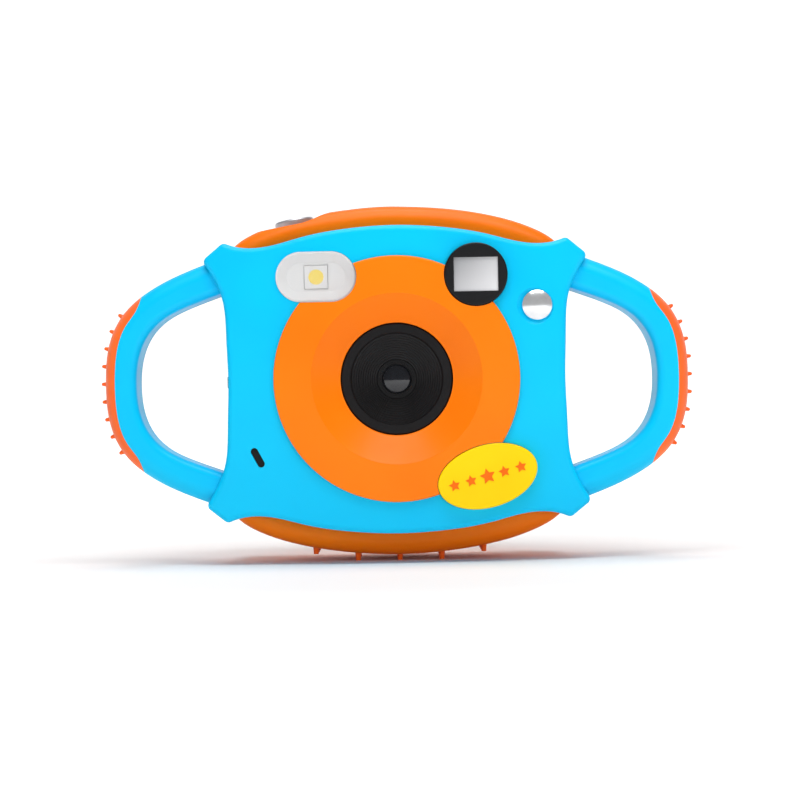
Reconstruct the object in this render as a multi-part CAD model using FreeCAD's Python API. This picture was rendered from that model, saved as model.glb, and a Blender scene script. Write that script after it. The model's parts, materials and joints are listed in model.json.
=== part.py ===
"""Kids digital camera with two handle loops, as an assembly of separate pieces.

Millimetres. +Z is up, +X is to the right seen from the front, and the lens looks along -Y.
While modelling, z is counted from the lens axis. On export the pieces are raised, so that the
origin is at the bottom centre of the whole camera, where the base nubs stand.
"""
import FreeCAD, Part
import math
import os

V = FreeCAD.Vector

# Overall heights and depths
LENS_HEIGHT = 40.0        # lens axis above the tips of the base nubs
DOME_RADIUS = 278.0       # the front is a gently domed face
SHELL_APEX_Y = -19.2      # front shell's face on the lens axis
FASCIA_APEX_Y = -20.14    # lens fascia's face, continued to the lens axis
PARTING_Y = -7.0          # front shell meets rear shell
BACK_Y = 18.5             # flat back of the rear shell
WALL = 2.0                # shell wall
FIT = 0.1                 # gap between fixed pieces
GAP = 0.3                 # gap around moving pieces

# Rear shell outline, as (x, z) from the top middle to the waist on the right
REAR_QUARTER = [
    (0.0, 38.3), (11.1, 37.65), (22.1, 35.8), (30.8, 32.9), (36.5, 28.8), (38.2, 22.5), (36.85, 12.0),
]
REAR_WAIST = 36.15
REAR_DROP = 0.45          # the underside bulges this much further than the top
SHOULDER_RADIUS = 3.6
LEDGE_BACK_Y = -2.0
BACK_RADIUS = 6.5

CAVITY_HALF_WIDTH = 34.4

# Front shell outline on the right, as (x, distance above or below the lens axis)
UPPER_TIP, UPPER_CORNER = (37.2, 30.2), (41.9, 26.3)
LOWER_TIP, LOWER_CORNER = (37.2, 30.7), (41.9, 27.0)
UPPER_EDGE = [UPPER_TIP, (30.7, 28.85), (26.7, 29.3), (20.3, 30.95), (10.8, 32.6), (0.0, 33.25)]
LOWER_EDGE = [LOWER_TIP, (30.7, 29.25), (26.7, 29.65), (20.3, 31.25), (10.8, 32.8), (0.0, 33.4)]
UPPER_SIDE = [UPPER_CORNER, (39.3, 22.2), (37.75, 18.7), (36.75, 9.3), (36.45, 0.0)]
LOWER_SIDE = [LOWER_CORNER, (39.4, 22.8), (37.8, 19.1), (36.75, 9.3), (36.45, 0.0)]

# Corner collars, which hold the handles
COLLAR_BACK_Y = 0.8
COLLAR_CORNER_RADIUS = 1.3
COLLAR_EDGE_RADIUS = 1.2

# Handles
HANDLE_DEPTH = 13.0
HANDLE_OUTER_ROUNDING = 3.3
HANDLE_INNER_ROUNDING = 1.7
HANDLE_OUTER = [
    (38.3, 27.0), (44.5, 24.65), (50.2, 22.15), (54.7, 19.5), (58.95, 15.8), (61.6, 11.7), (63.2, 6.25),
]
HANDLE_OUTER_MIDDLE = (63.6, 0.0)
HANDLE_OUTER_SHIFT = (0.0, 0.5)      # how far the upper and the lower half stand lower than listed
HANDLE_INNER = [(35.4, 20.6), (41.6, 18.2), (46.5, 16.3), (50.7, 14.0), (54.0, 10.6), (56.1, 5.6)]
HANDLE_INNER_MIDDLE = (56.65, -0.3)
HANDLE_INNER_SHIFT = (0.3, 0.3)
SOCKET_OUTER = [(38.35, 27.25), (46.0, 24.35)]
SOCKET_INNER = [(42.9, 17.45), (35.2, 20.45)]

# Grip pads on the handles
PAD_SEAM = [(55.3, 21.3), (55.6, 18.2), (56.6, 15.7), (58.6, 12.9), (60.3, 9.1), (61.1, 4.45)]
PAD_SEAM_MIDDLE = (61.3, 0.0)
PAD_SEAM_SHIFT = (0.2, 0.5)
PAD_OUTSIDE_X = 72.0
PAD_NUB_COUNT = 9
PAD_NUB_PITCH = 3.85
PAD_NUB_RADIUS = 0.62
PAD_NUB_TIP_RADIUS = 0.38
PAD_NUB_HEIGHT = 0.95
PAD_NUB_ROOT = 0.8
PAD_NUB_ROWS_Y = (-10.0, -7.0, -4.0)

# Lens
FASCIA_RADIUS = 26.55
FASCIA_BACK_Y = -18.3
FUNNEL_RADIUS = 18.4
FUNNEL_BOTTOM_Y = -15.2
HOOD_RADIUS = 12.12
HOOD_BACK_Y = -8.0
HOOD_FRONT_Y = -14.9
HOOD_THROAT_Y = -10.9
HOOD_BEVEL_RADIUS = 9.75
HOOD_BORE = 4.3
BAFFLE_STEPS = 11
FUNNEL_RIM_Y = -19.5
BARREL_RADIUS = 6.0
BARREL_BACK_Y = -1.5
LENS_RADIUS = 3.6
RETAINER_RADIUS = 3.1
REAR_LENS_RADIUS = 2.8

# Front details, as (x, z) of their centres
FLASH_CENTRE = (-17.05, 22.25)
FLASH_LENGTH = 17.3
FLASH_HEIGHT = 10.85
FLASH_FRONT_Y = -19.0
FLASH_SEAT_Y = -17.0
REFLECTOR_FRONT_Y = -17.7
REFLECTOR_FLOOR_Y = -16.5
REFLECTOR_BACK_Y = -13.5
LED_SIDE = 5.0
LED_FRONT_Y = -16.7
PHOSPHOR_RADIUS = 1.65
VIEWFINDER_CENTRE = (17.4, 22.15)
VIEWFINDER_RADIUS = 6.82
VIEWFINDER_NECK_RADIUS = 5.8
VIEWFINDER_NECK_Y = -15.3
VIEWFINDER_WINDOW = (9.5, 7.3)
VIEWFINDER_TUBE_WALL = 0.8
VIEWFINDER_FRONT_Y = -19.3
MIRROR_CENTRE = (30.55, 15.4)
MIRROR_RADIUS = 3.2
MIRROR_BALL_RADIUS = 6.4
MIRROR_APEX_Y = -18.1
MIRROR_BASE_Y = -16.5
MIRROR_DISH_RADIUS = 4.15
BADGE_CENTRE = (19.15, -21.3)
BADGE_HALF_LENGTH = 10.95
BADGE_HALF_HEIGHT = 6.75
BADGE_TILT = 15.0
BADGE_FRONT_Y = -19.3
MIC_CENTRE = (-30.3, -16.5)
MIC_LENGTH = 4.4
MIC_WIDTH = 1.4
MIC_TILT = -62.0
MIC_FACE_Y = -16.7

EYEPIECE_RADIUS = 6.0
EYEPIECE_BACK_Y = 19.5
SPEAKER_CENTRE = (-18.4, -22.6)
SPEAKER_RADIUS = 5.8
SPEAKER_HOLE_RADIUS = 0.55

# Inner boards
BOARD_FRONT_Y = 2.0
BOARD_BACK_Y = 3.2

# Display and keys on the back
DISPLAY_CENTRE = (9.0, -3.5)
DISPLAY_WINDOW = (37.0, 29.5)
DISPLAY_PANEL = (40.0, 32.0)
DISPLAY_FRAME = (42.0, 34.0)
KEY_FACE_Y = 19.1
KEY_FLANGE_Y = 16.0
KEY_FLANGE_THICKNESS = 0.9
KEY_FLANGE_LIP = 0.9
KEY_SWITCH_TOP_Y = 14.4
KEY_BOARD_BACK_Y = 11.0
ARROWS_CENTRE = (-22.2, -3.0)
OK_RADIUS = 2.9
ARROW_INNER_RADIUS = 4.2
ARROW_OUTER_RADIUS = 7.6
ARROW_HALF_ANGLE = 36.0
ROUND_KEYS = {
    "key_ok": ARROWS_CENTRE + (OK_RADIUS,),
    "key_menu": (-27.0, 10.6, 2.3),
    "key_mode": (-17.4, 10.6, 2.3),
    "key_power": (-22.2, 19.6, 2.9),
}
ARROW_KEYS = {"key_right": 0.0, "key_up": 90.0, "key_left": 180.0, "key_down": 270.0}

# Shutter button, on a tilted seat on the top left
SEAT_CENTRE = (-23.6, 34.25)
SEAT_TILT = 9.5
SEAT_BOSS_RADIUS = 6.6
SEAT_BOSS_DEPTH = 2.5
SEAT_FLAT_X = (-32.0, -21.3)  # the seat's flat runs between these places
SEAT_RISE = [(-19.6, 35.05), (-17.9, 35.7), (-16.2, 36.5), (-14.4, 37.15), (-11.0, 37.95)]
SEAT_ABOVE_Z = 42.0
SHUTTER_ALONG = 1.4       # the button's centre along the seat, to the right of the seat's centre
SHUTTER_Y = 4.5
SHUTTER_RADIUS = 4.4
SHUTTER_PROUD = 1.9
SHUTTER_FLANGE_TOP = -2.9  # heights in the seat's own frame, from the seat's flat
SHUTTER_FLANGE_THICKNESS = 0.8
SHUTTER_PLUNGER_TOP = -4.7

# Ports on the left side, behind the cover
COVER_HALF_HEIGHT = 12.0
COVER_FRONT_Y = 1.4
COVER_AXIS_Y = 9.4
COVER_FACE_X = -36.0
COVER_BARREL_RADIUS = 0.95
COVER_PIN_RADIUS = 0.5
COVER_AXIS_X = COVER_FACE_X + COVER_BARREL_RADIUS
COVER_LIP = 1.9           # finger lip, standing out from the cover
PORT_BLOCK_X = -31.0
USB_Z = 6.2
USB_MOUTH_X = -33.7
CARD_Z = -6.0

# Case screws, as (x, z)
SCREW_PLACES = [(28.5, 25.2), (-28.5, 25.2), (28.5, -25.2), (-28.5, -25.2)]
SCREW_HEAD_RADIUS = 1.9
SCREW_SHANK_RADIUS = 1.0
SCREW_SEAT_Y = 5.0

# Base pad
BASE_HALF_WIDTH = 23.0
BASE_FRONT_Y = -3.4
BASE_BACK_Y = 11.6
BASE_THICKNESS = 1.0
BASE_NUB_RADIUS = 0.7
BASE_NUB_TIP = 0.55
BASE_NUB_LENGTH = 2.2
BASE_NUB_ROWS_Y = (-2.3, 4.0, 10.3)
BASE_NUB_COLUMNS = {-18.6: 38.45, -9.3: 40.0, 0.0: 40.0, 9.3: 40.0, 18.6: 38.45}


# ---------------------------------------------------------------- basic shapes

def disc(place, radius, y_from, y_to):
    """Cylinder along Y around place (x, z)."""
    return Part.makeCylinder(radius, y_to - y_from, V(place[0], y_from, place[1]), V(0, 1, 0))


def block(x_from, x_to, y_from, y_to, z_from, z_to):
    return Part.makeBox(x_to - x_from, y_to - y_from, z_to - z_from, V(x_from, y_from, z_from))


def plate(centre, size, y_from, y_to):
    """Rectangular plate across Y, with centre and size as (x, z)."""
    half_x, half_z = size[0] / 2, size[1] / 2
    return block(centre[0] - half_x, centre[0] + half_x, y_from, y_to, centre[1] - half_z, centre[1] + half_z)


def stadium_wire(centre, length, width, y):
    """Outline of a round-ended slot, long along X."""
    radius = width / 2
    reach = length / 2 - radius
    x, z = centre

    def at(along, up):
        return V(x + along, y, z + up)

    return Part.Wire([
        Part.makeLine(at(-reach, radius), at(reach, radius)),
        Part.Arc(at(reach, radius), at(reach + radius, 0), at(reach, -radius)).toShape(),
        Part.makeLine(at(reach, -radius), at(-reach, -radius)),
        Part.Arc(at(-reach, -radius), at(-reach - radius, 0), at(-reach, radius)).toShape(),
    ])


def stadium(centre, length, width, y_from, y_to):
    return Part.Face(stadium_wire(centre, length, width, y_from)).extrude(V(0, y_to - y_from, 0))


def oval(centre, half_length, half_height, tilt, y_from, y_to):
    """Elliptic plate, long along X and then turned by tilt, right side up."""
    curve = Part.Ellipse(V(0, 0, 0), half_length, half_height)
    solid = Part.Face(Part.Wire(curve.toShape())).extrude(V(0, 0, y_to - y_from))
    solid.rotate(V(0, 0, 0), V(1, 0, 0), -90)
    solid.rotate(V(0, 0, 0), V(0, 1, 0), -tilt)
    solid.translate(V(centre[0], y_from, centre[1]))
    return solid


def curve(points):
    """Smooth curve through (x, z) points."""
    spline = Part.BSplineCurve()
    spline.interpolate([V(x, 0, z) for x, z in points])
    return spline.toShape()


def straight(start, end):
    return Part.makeLine(V(start[0], 0, start[1]), V(end[0], 0, end[1]))


def face_of(edges):
    return Part.Face(Part.Wire(Part.__sortEdges__(edges)))


def prism(face, y_from, y_to):
    """Solid from a face drawn in the XZ plane."""
    moved = face.translated(V(0, y_from, 0))
    return moved.extrude(V(0, y_to - y_from, 0))


def mirrored(shape):
    """The same piece on the other side of the camera."""
    return shape.mirror(V(0, 0, 0), V(1, 0, 0))


def revolved(profile, place=(0, 0)):
    """Solid of revolution around the Y axis through place, from (radius, y) points."""
    points = [V(r, y, 0) for r, y in profile]
    wire = Part.makePolygon(points + points[:1])
    solid = Part.Face(wire).revolve(V(0, 0, 0), V(0, 1, 0), 360)
    solid.translate(V(place[0], 0, place[1]))
    return solid


def edges_at_y(shape, y):
    """The edges that lie wholly in the plane at y."""
    found = []
    for edge in shape.Edges:
        box = edge.BoundBox
        if abs(box.YMin - y) < 1e-4 and abs(box.YMax - y) < 1e-4:
            found.append(edge)
    return found


def edges_along_y(shape, beyond_x=0.0):
    """The straight edges parallel to Y that stand further than beyond_x from the middle."""
    found = []
    for edge in shape.Edges:
        box = edge.BoundBox
        if box.XLength < 1e-4 and box.ZLength < 1e-4 and abs(box.XMin) > beyond_x:
            found.append(edge)
    return found


def front_dome(apex_y, depth=80.0):
    """Everything behind the domed front face whose apex is at apex_y."""
    ball = Part.makeSphere(DOME_RADIUS, V(0, apex_y + DOME_RADIUS, 0))
    return ball.common(block(-80, 80, apex_y - 1, apex_y + depth, -60, 60))


# ---------------------------------------------------------------- outlines of the case

def turned(points, flip_x=1, flip_z=1):
    return [(flip_x * x, flip_z * z) for x, z in points]


def whole_edge(half):
    """Top edge from the right end over the middle to the left end."""
    return half[:-1] + turned(half, flip_x=-1)[::-1]


def front_outline():
    """Blue front: crowned top and bottom, waisted sides and a collar tip at each corner."""
    side = UPPER_SIDE[:-1] + turned(LOWER_SIDE, flip_z=-1)[::-1]
    edges = [curve(whole_edge(UPPER_EDGE)), curve(turned(whole_edge(LOWER_EDGE), flip_z=-1))]
    edges += [curve(side), curve(turned(side, flip_x=-1))]
    for flip_x in (1, -1):
        edges.append(straight(*turned([UPPER_TIP, UPPER_CORNER], flip_x)))
        edges.append(straight(*turned([LOWER_TIP, LOWER_CORNER], flip_x, -1)))
    return face_of(edges)


def rear_outline(inset=0.0):
    """Orange rear: one smooth closed outline, a little inside the front's waist."""
    high = REAR_QUARTER + [(REAR_WAIST, 0.0)]
    low = turned(REAR_QUARTER, flip_z=-1)[::-1]
    right = high + [(x, z - REAR_DROP) for x, z in low]
    places = [V(x, 0, z) for x, z in right + turned(right, flip_x=-1)[-2:0:-1]]
    spline = Part.BSplineCurve()
    spline.interpolate(Points=places, PeriodicFlag=True)
    if inset:
        inner = []
        for place in places:
            along = spline.getD1(spline.parameter(place))[1].normalize()
            inner.append(place + V(along.z, 0, -along.x) * inset)
        spline = Part.BSplineCurve()
        spline.interpolate(Points=inner, PeriodicFlag=True)
    return Part.Face(Part.Wire(spline.toShape()))


def front_cavity():
    """The hollow of the front shell: crowned like its outline, with straight sides."""
    top = whole_edge([(x, z - WALL) for x, z in UPPER_EDGE])
    bottom = turned(whole_edge([(x, z - WALL) for x, z in LOWER_EDGE]), flip_z=-1)
    edges = [curve(top), curve(bottom), straight(top[0], bottom[0]), straight(top[-1], bottom[-1])]
    sides = block(-CAVITY_HALF_WIDTH, CAVITY_HALF_WIDTH, -30, 0, -40, 40)
    hollow = prism(face_of(edges), SHELL_APEX_Y, PARTING_Y + 1)
    return hollow.common(sides).common(front_dome(SHELL_APEX_Y + WALL + 0.4))


# ---------------------------------------------------------------- handles

def there_and_back(half, middle, shift):
    """An upper half, its middle point and the mirrored lower half, each half lowered by its shift."""
    upper = [(x, z - shift[0]) for x, z in half]
    lower = [(x, -z - shift[1]) for x, z in half]
    return upper + [middle] + lower[::-1]


def loop_face():
    """Side view of the right handle loop, with its tongues inside the collars."""
    outer = there_and_back(HANDLE_OUTER, HANDLE_OUTER_MIDDLE, HANDLE_OUTER_SHIFT)
    inner = there_and_back(HANDLE_INNER, HANDLE_INNER_MIDDLE, HANDLE_INNER_SHIFT)
    return face_of([curve(outer), curve(inner), straight(outer[0], inner[0]), straight(outer[-1], inner[-1])])


def pad_side_face():
    """Everything outside the seam between the right handle and its grip pad."""
    seam = there_and_back(PAD_SEAM, PAD_SEAM_MIDDLE, PAD_SEAM_SHIFT)
    top, bottom = seam[0][1], seam[-1][1]
    edges = [curve(seam), straight(seam[0], (PAD_OUTSIDE_X, top))]
    edges.append(straight(seam[-1], (PAD_OUTSIDE_X, bottom)))
    edges.append(straight((PAD_OUTSIDE_X, top), (PAD_OUTSIDE_X, bottom)))
    return face_of(edges)


def loop_solid():
    """The right handle loop with its pad, rounded all along."""
    front_y = PARTING_Y - HANDLE_DEPTH / 2
    back_y = PARTING_Y + HANDLE_DEPTH / 2
    solid = prism(loop_face(), front_y, back_y)
    long_edges = [edge for edge in edges_at_y(solid, front_y) + edges_at_y(solid, back_y) if edge.Length > 40]
    longest = max(edge.Length for edge in long_edges)
    outer = [edge for edge in long_edges if edge.Length > longest - 5]
    solid = solid.makeFillet(HANDLE_OUTER_ROUNDING, outer)
    inner = [edge for edge in edges_at_y(solid, front_y) + edges_at_y(solid, back_y)
             if 40 < edge.Length < longest - 5 and edge.BoundBox.XMax < HANDLE_INNER_MIDDLE[0] + 1.5]
    return solid.makeFillet(HANDLE_INNER_ROUNDING, inner)


def handle_half(side):
    """Front (side -1) or rear (side 1) half of the right handle, without its pad."""
    reach = side * HANDLE_DEPTH
    half_space = block(20, 80, min(PARTING_Y, PARTING_Y + reach), max(PARTING_Y, PARTING_Y + reach), -40, 40)
    body = loop_solid().common(half_space)
    return body.cut(prism(pad_side_face(), -30, 30)).Solids[0]


def pad_nub(place, outward):
    """Small round-topped rubber nub that stands outward from a place on the pad."""
    shank = PAD_NUB_HEIGHT - PAD_NUB_TIP_RADIUS
    base = place - outward * PAD_NUB_ROOT
    cone = Part.makeCone(PAD_NUB_RADIUS, PAD_NUB_TIP_RADIUS, PAD_NUB_ROOT + shank, base, outward)
    return cone.fuse(Part.makeSphere(PAD_NUB_TIP_RADIUS, place + outward * shank))


def grip_pad():
    """Right grip pad: the rubber outer side of the loop, with rows of nubs."""
    pad = loop_solid().common(prism(pad_side_face(), -30, 30))
    outer = Part.BSplineCurve()
    places = there_and_back(HANDLE_OUTER, HANDLE_OUTER_MIDDLE, HANDLE_OUTER_SHIFT)
    outer.interpolate([V(x, 0, z) for x, z in places])
    middle = outer.parameter(V(HANDLE_OUTER_MIDDLE[0], 0, HANDLE_OUTER_MIDDLE[1]))
    speed = outer.getD1(middle)[1].Length
    nubs = []
    for index in range(PAD_NUB_COUNT):
        offset = (index - (PAD_NUB_COUNT - 1) / 2) * PAD_NUB_PITCH
        point, along = outer.getD1(middle + offset / speed)
        outward = V(-along.z, 0, along.x).normalize()
        for row_y in PAD_NUB_ROWS_Y:
            nubs.append(pad_nub(V(point.x, row_y, point.z), outward))
    return pad.fuse(nubs).removeSplitter()


# ---------------------------------------------------------------- case shells

def seat_frame(solid):
    """Puts a solid made around +Z at the origin on the tilted shutter seat."""
    solid.rotate(V(0, 0, 0), V(0, 1, 0), -SEAT_TILT)
    solid.translate(V(SEAT_CENTRE[0], SHUTTER_Y, SEAT_CENTRE[1]))
    return solid


def seat_scoop():
    """What is scooped off the rear shell's top left, with an S-shaped rise to the crest."""
    slope = math.tan(math.radians(SEAT_TILT))
    low, start = [(x, SEAT_CENTRE[1] + slope * (x - SEAT_CENTRE[0])) for x in SEAT_FLAT_X]
    rise = [start] + SEAT_RISE
    above_low, above_end = (low[0], SEAT_ABOVE_Z), (rise[-1][0], SEAT_ABOVE_Z)
    edges = [straight(low, start), curve(rise), straight(rise[-1], above_end)]
    edges += [straight(above_end, above_low), straight(above_low, low)]
    return prism(face_of(edges), PARTING_Y - 2, BACK_Y + 2)


def front_shell_outer():
    body = prism(front_outline(), SHELL_APEX_Y - 2, PARTING_Y)
    body = body.makeFillet(COLLAR_CORNER_RADIUS, edges_along_y(body, 30))
    body = body.common(front_dome(SHELL_APEX_Y))
    boxes = [(edge, edge.BoundBox) for edge in body.Edges]
    front_edges = [edge for edge, box in boxes if box.YMax < PARTING_Y - 3 and box.YLength < 6]
    return body.makeFillet(COLLAR_EDGE_RADIUS, front_edges)


def front_details(margin):
    """The sockets that the flash window, viewfinder bezel and badge plate sit in."""
    flash = stadium(FLASH_CENTRE, FLASH_LENGTH + 2 * margin, FLASH_HEIGHT + 2 * margin, -25, FLASH_SEAT_Y)
    bezel = disc(VIEWFINDER_CENTRE, VIEWFINDER_RADIUS + margin, -25, -16.6)
    badge = oval(BADGE_CENTRE, BADGE_HALF_LENGTH + margin, BADGE_HALF_HEIGHT + margin, BADGE_TILT, -25, -17.0)
    return [flash, bezel, badge]


def mic_slot(margin, y_from, y_to):
    slot = stadium((0, 0), MIC_LENGTH + 2 * margin, MIC_WIDTH + 2 * margin, y_from, y_to)
    slot.rotate(V(0, 0, 0), V(0, 1, 0), -MIC_TILT)
    slot.translate(V(MIC_CENTRE[0], 0, MIC_CENTRE[1]))
    return slot


def screw_bosses(radius, y_from, y_to):
    return [disc(place, radius, y_from, y_to) for place in SCREW_PLACES]


def handle_sockets():
    """Room for the handle tongues in all four collars."""
    depth = HANDLE_DEPTH / 2 + FIT
    sockets = []
    for flip_x in (1, -1):
        for half, flip_z in enumerate((1, -1)):
            outer = [(x, flip_z * z - HANDLE_OUTER_SHIFT[half]) for x, z in SOCKET_OUTER]
            inner = [(x, flip_z * z - HANDLE_INNER_SHIFT[half]) for x, z in SOCKET_INNER]
            points = [V(flip_x * x, 0, z) for x, z in outer + inner]
            face = Part.Face(Part.makePolygon(points + points[:1]))
            sockets.append(prism(face, PARTING_Y - depth, PARTING_Y + depth))
    return sockets


def mirror_recess():
    """Shallow dish around the mirror, with the mirror's own seat in its middle."""
    face_y = SHELL_APEX_Y + (MIRROR_CENTRE[0] ** 2 + MIRROR_CENTRE[1] ** 2) / (2 * DOME_RADIUS)
    slope = [(0, -25), (MIRROR_DISH_RADIUS + 0.2, -25), (MIRROR_DISH_RADIUS + 0.2, face_y - 0.3),
             (MIRROR_RADIUS + FIT, face_y + 0.6), (0, face_y + 0.6)]
    seat = disc(MIRROR_CENTRE, MIRROR_RADIUS + FIT, -25, MIRROR_BASE_Y)
    return revolved(slope, MIRROR_CENTRE).fuse(seat)


def front_shell():
    outer = front_shell_outer()
    shell = outer.cut(front_cavity())
    bosses = [boss.common(outer) for boss in screw_bosses(3.0, -16.5, PARTING_Y)]
    shell = shell.fuse(bosses)
    cuts = front_details(FIT) + handle_sockets()
    cuts.append(disc((0, 0), FUNNEL_RADIUS + 1.6, -30, 0))
    cuts.append(disc((0, 0), FASCIA_RADIUS + FIT, -30, FASCIA_BACK_Y))
    cuts.append(mirror_recess())
    cuts.append(mic_slot(FIT, -25, -10))
    cuts.append(stadium(FLASH_CENTRE, FLASH_LENGTH - 2, FLASH_HEIGHT - 2, -25, -10))
    cuts.append(disc(VIEWFINDER_CENTRE, VIEWFINDER_NECK_RADIUS + FIT, -25, -10))
    tube_hole = [side + 2 * (VIEWFINDER_TUBE_WALL + FIT) for side in VIEWFINDER_WINDOW]
    cuts.append(plate(VIEWFINDER_CENTRE, tube_hole, VIEWFINDER_NECK_Y, -10))
    cuts += screw_bosses(SCREW_SHANK_RADIUS, -14.5, PARTING_Y + 1)
    return shell.cut(cuts).removeSplitter()


def rear_shell_outer():
    body = prism(rear_outline(), PARTING_Y, BACK_Y)
    body = body.makeFillet(BACK_RADIUS, edges_at_y(body, BACK_Y))
    body = body.makeFillet(SHOULDER_RADIUS, edges_at_y(body, PARTING_Y))
    body = body.cut(seat_scoop())
    collar = prism(front_outline(), PARTING_Y, COLLAR_BACK_Y)
    collar = collar.makeFillet(COLLAR_CORNER_RADIUS, edges_along_y(collar, 30))
    collar = collar.makeFillet(COLLAR_EDGE_RADIUS, edges_at_y(collar, COLLAR_BACK_Y))
    return body.fuse(collar)


def rear_cavity():
    """The hollow of the rear shell, with a ledge behind the shoulder for the front shell's rim."""
    floor_y = BACK_Y - WALL - 0.2
    main = prism(rear_outline(WALL), LEDGE_BACK_Y, floor_y)
    main = main.makeFillet(BACK_RADIUS - WALL, edges_at_y(main, floor_y))
    return main.fuse(prism(rear_outline(SHOULDER_RADIUS + WALL), PARTING_Y - 1, LEDGE_BACK_Y + 1))


def arrow_sector(inner, outer, half_angle, y_from, y_to):
    """Ring sector around the direction pad's centre, pointing to +X."""
    low, high = math.radians(-half_angle), math.radians(half_angle)

    def at(radius, angle):
        return V(radius * math.cos(angle), 0, radius * math.sin(angle))

    edges = [
        Part.Arc(at(outer, low), at(outer, 0), at(outer, high)).toShape(),
        Part.Arc(at(inner, low), at(inner, 0), at(inner, high)).toShape(),
        Part.makeLine(at(inner, low), at(outer, low)),
        Part.makeLine(at(inner, high), at(outer, high)),
    ]
    return prism(face_of(edges), y_from, y_to)


def around_arrows(solid, angle):
    solid.rotate(V(0, 0, 0), V(0, 1, 0), -angle)
    solid.translate(V(ARROWS_CENTRE[0], 0, ARROWS_CENTRE[1]))
    return solid


def key_holes():
    holes = [disc((x, z), radius + GAP, KEY_FLANGE_Y - 3, BACK_Y + 3) for x, z, radius in ROUND_KEYS.values()]
    for angle in ARROW_KEYS.values():
        hole = arrow_sector(ARROW_INNER_RADIUS - GAP, ARROW_OUTER_RADIUS + GAP, ARROW_HALF_ANGLE + 3.5,
                            KEY_FLANGE_Y - 3, BACK_Y + 3)
        holes.append(around_arrows(hole, angle))
    return holes


def speaker_holes():
    places = [(0.0, 0.0)]
    for count, radius in ((6, 2.1), (12, 4.0)):
        for index in range(count):
            angle = 2 * math.pi * index / count
            places.append((radius * math.cos(angle), radius * math.sin(angle)))
    centre_x, centre_z = SPEAKER_CENTRE
    return [disc((centre_x + x, centre_z + z), SPEAKER_HOLE_RADIUS, 14, BACK_Y + 1) for x, z in places]


def port_block():
    """Thick wall behind the port cover."""
    return block(-40, PORT_BLOCK_X, -2.6, COVER_AXIS_Y + 3, -14.2, 14.2)


def port_cuts():
    reach = COVER_BARREL_RADIUS + GAP
    recess = block(-40, COVER_FACE_X, 1.0, COVER_AXIS_Y + 2.8, -13.6, 13.6)
    pocket = block(-40, COVER_AXIS_X + reach, COVER_FRONT_Y - 0.25, COVER_AXIS_Y + reach,
                   -COVER_HALF_HEIGHT - 0.25, COVER_HALF_HEIGHT + 0.25)
    usb = block(-40, PORT_BLOCK_X + 1, BOARD_BACK_Y - 0.1, 6.0, USB_Z - 3.95, USB_Z + 3.95)
    card = block(-40, PORT_BLOCK_X + 1, 3.5, 4.75, CARD_Z - 5.7, CARD_Z + 5.7)
    pin = Part.makeCylinder(COVER_PIN_RADIUS, 26.4, V(COVER_AXIS_X, COVER_AXIS_Y, -13.2))
    return [recess, pocket, usb, card, pin]


def base_strip():
    """The curved strip of the rear shell's underside that the base pad fills."""
    half = BASE_HALF_WIDTH
    corners = [V(-half, 0, -50), V(half, 0, -50), V(half, 0, -20), V(-half, 0, -20), V(-half, 0, -50)]
    band = rear_outline().cut(rear_outline(BASE_THICKNESS)).common(Part.Face(Part.makePolygon(corners)))
    return prism(band.Faces[0], BASE_FRONT_Y, BASE_BACK_Y)


def rear_shell():
    outer = rear_shell_outer()
    shell = outer.cut(rear_cavity())
    seat_boss = Part.makeCylinder(SEAT_BOSS_RADIUS, SEAT_BOSS_DEPTH + 1, V(0, 0, -SEAT_BOSS_DEPTH))
    posts = screw_bosses(3.4, PARTING_Y, BACK_Y) + [port_block(), seat_frame(seat_boss)]
    shell = shell.fuse([post.common(outer) for post in posts])
    rim = (DISPLAY_WINDOW[0] + 2.4, DISPLAY_WINDOW[1] + 2.4)
    back_openings = [
        plate(DISPLAY_CENTRE, DISPLAY_WINDOW, 14, BACK_Y + 1),
        plate(DISPLAY_CENTRE, rim, BACK_Y - 1.1, BACK_Y + 1),
        disc(VIEWFINDER_CENTRE, EYEPIECE_RADIUS - 0.8, 14, BACK_Y + 1),
    ]
    screw_holes = screw_bosses(SCREW_SHANK_RADIUS + 0.15, PARTING_Y - 1, SCREW_SEAT_Y + 1)
    screw_holes += screw_bosses(SCREW_HEAD_RADIUS + 0.3, SCREW_SEAT_Y, BACK_Y + 1)
    button_hole = seat_frame(Part.makeCylinder(SHUTTER_RADIUS + GAP, 12, V(SHUTTER_ALONG, 0, -6)))
    cuts = handle_sockets() + port_cuts() + back_openings + screw_holes + key_holes()
    cuts += [button_hole, base_strip()]
    for cut in cuts:
        shell = shell.cut(cut)
    return shell.cut(speaker_holes())


def base_grip_pad():
    """Rubber strip under the camera, with nubs that it stands on."""
    strip = base_strip()
    nubs = []
    for x, depth in BASE_NUB_COLUMNS.items():
        for y in BASE_NUB_ROWS_Y:
            root = V(x, y, BASE_NUB_LENGTH - depth)
            nubs.append(Part.makeCone(BASE_NUB_RADIUS, BASE_NUB_TIP, BASE_NUB_LENGTH, root, V(0, 0, -1)))
    return strip.fuse(nubs).removeSplitter()


def port_cover():
    half = COVER_HALF_HEIGHT
    body = block(COVER_FACE_X, COVER_AXIS_X + COVER_BARREL_RADIUS, COVER_FRONT_Y, COVER_AXIS_Y, -half, half)
    barrel = Part.makeCylinder(COVER_BARREL_RADIUS, 2 * half, V(COVER_AXIS_X, COVER_AXIS_Y, -half))
    lip = block(COVER_FACE_X - COVER_LIP, COVER_FACE_X + 0.5, COVER_FRONT_Y, COVER_FRONT_Y + 1.0, -1.25, 1.25)
    bore = Part.makeCylinder(COVER_PIN_RADIUS + 0.06, 2 * half + 2, V(COVER_AXIS_X, COVER_AXIS_Y, -half - 1))
    return body.fuse([barrel, lip]).cut(bore).removeSplitter()


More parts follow.
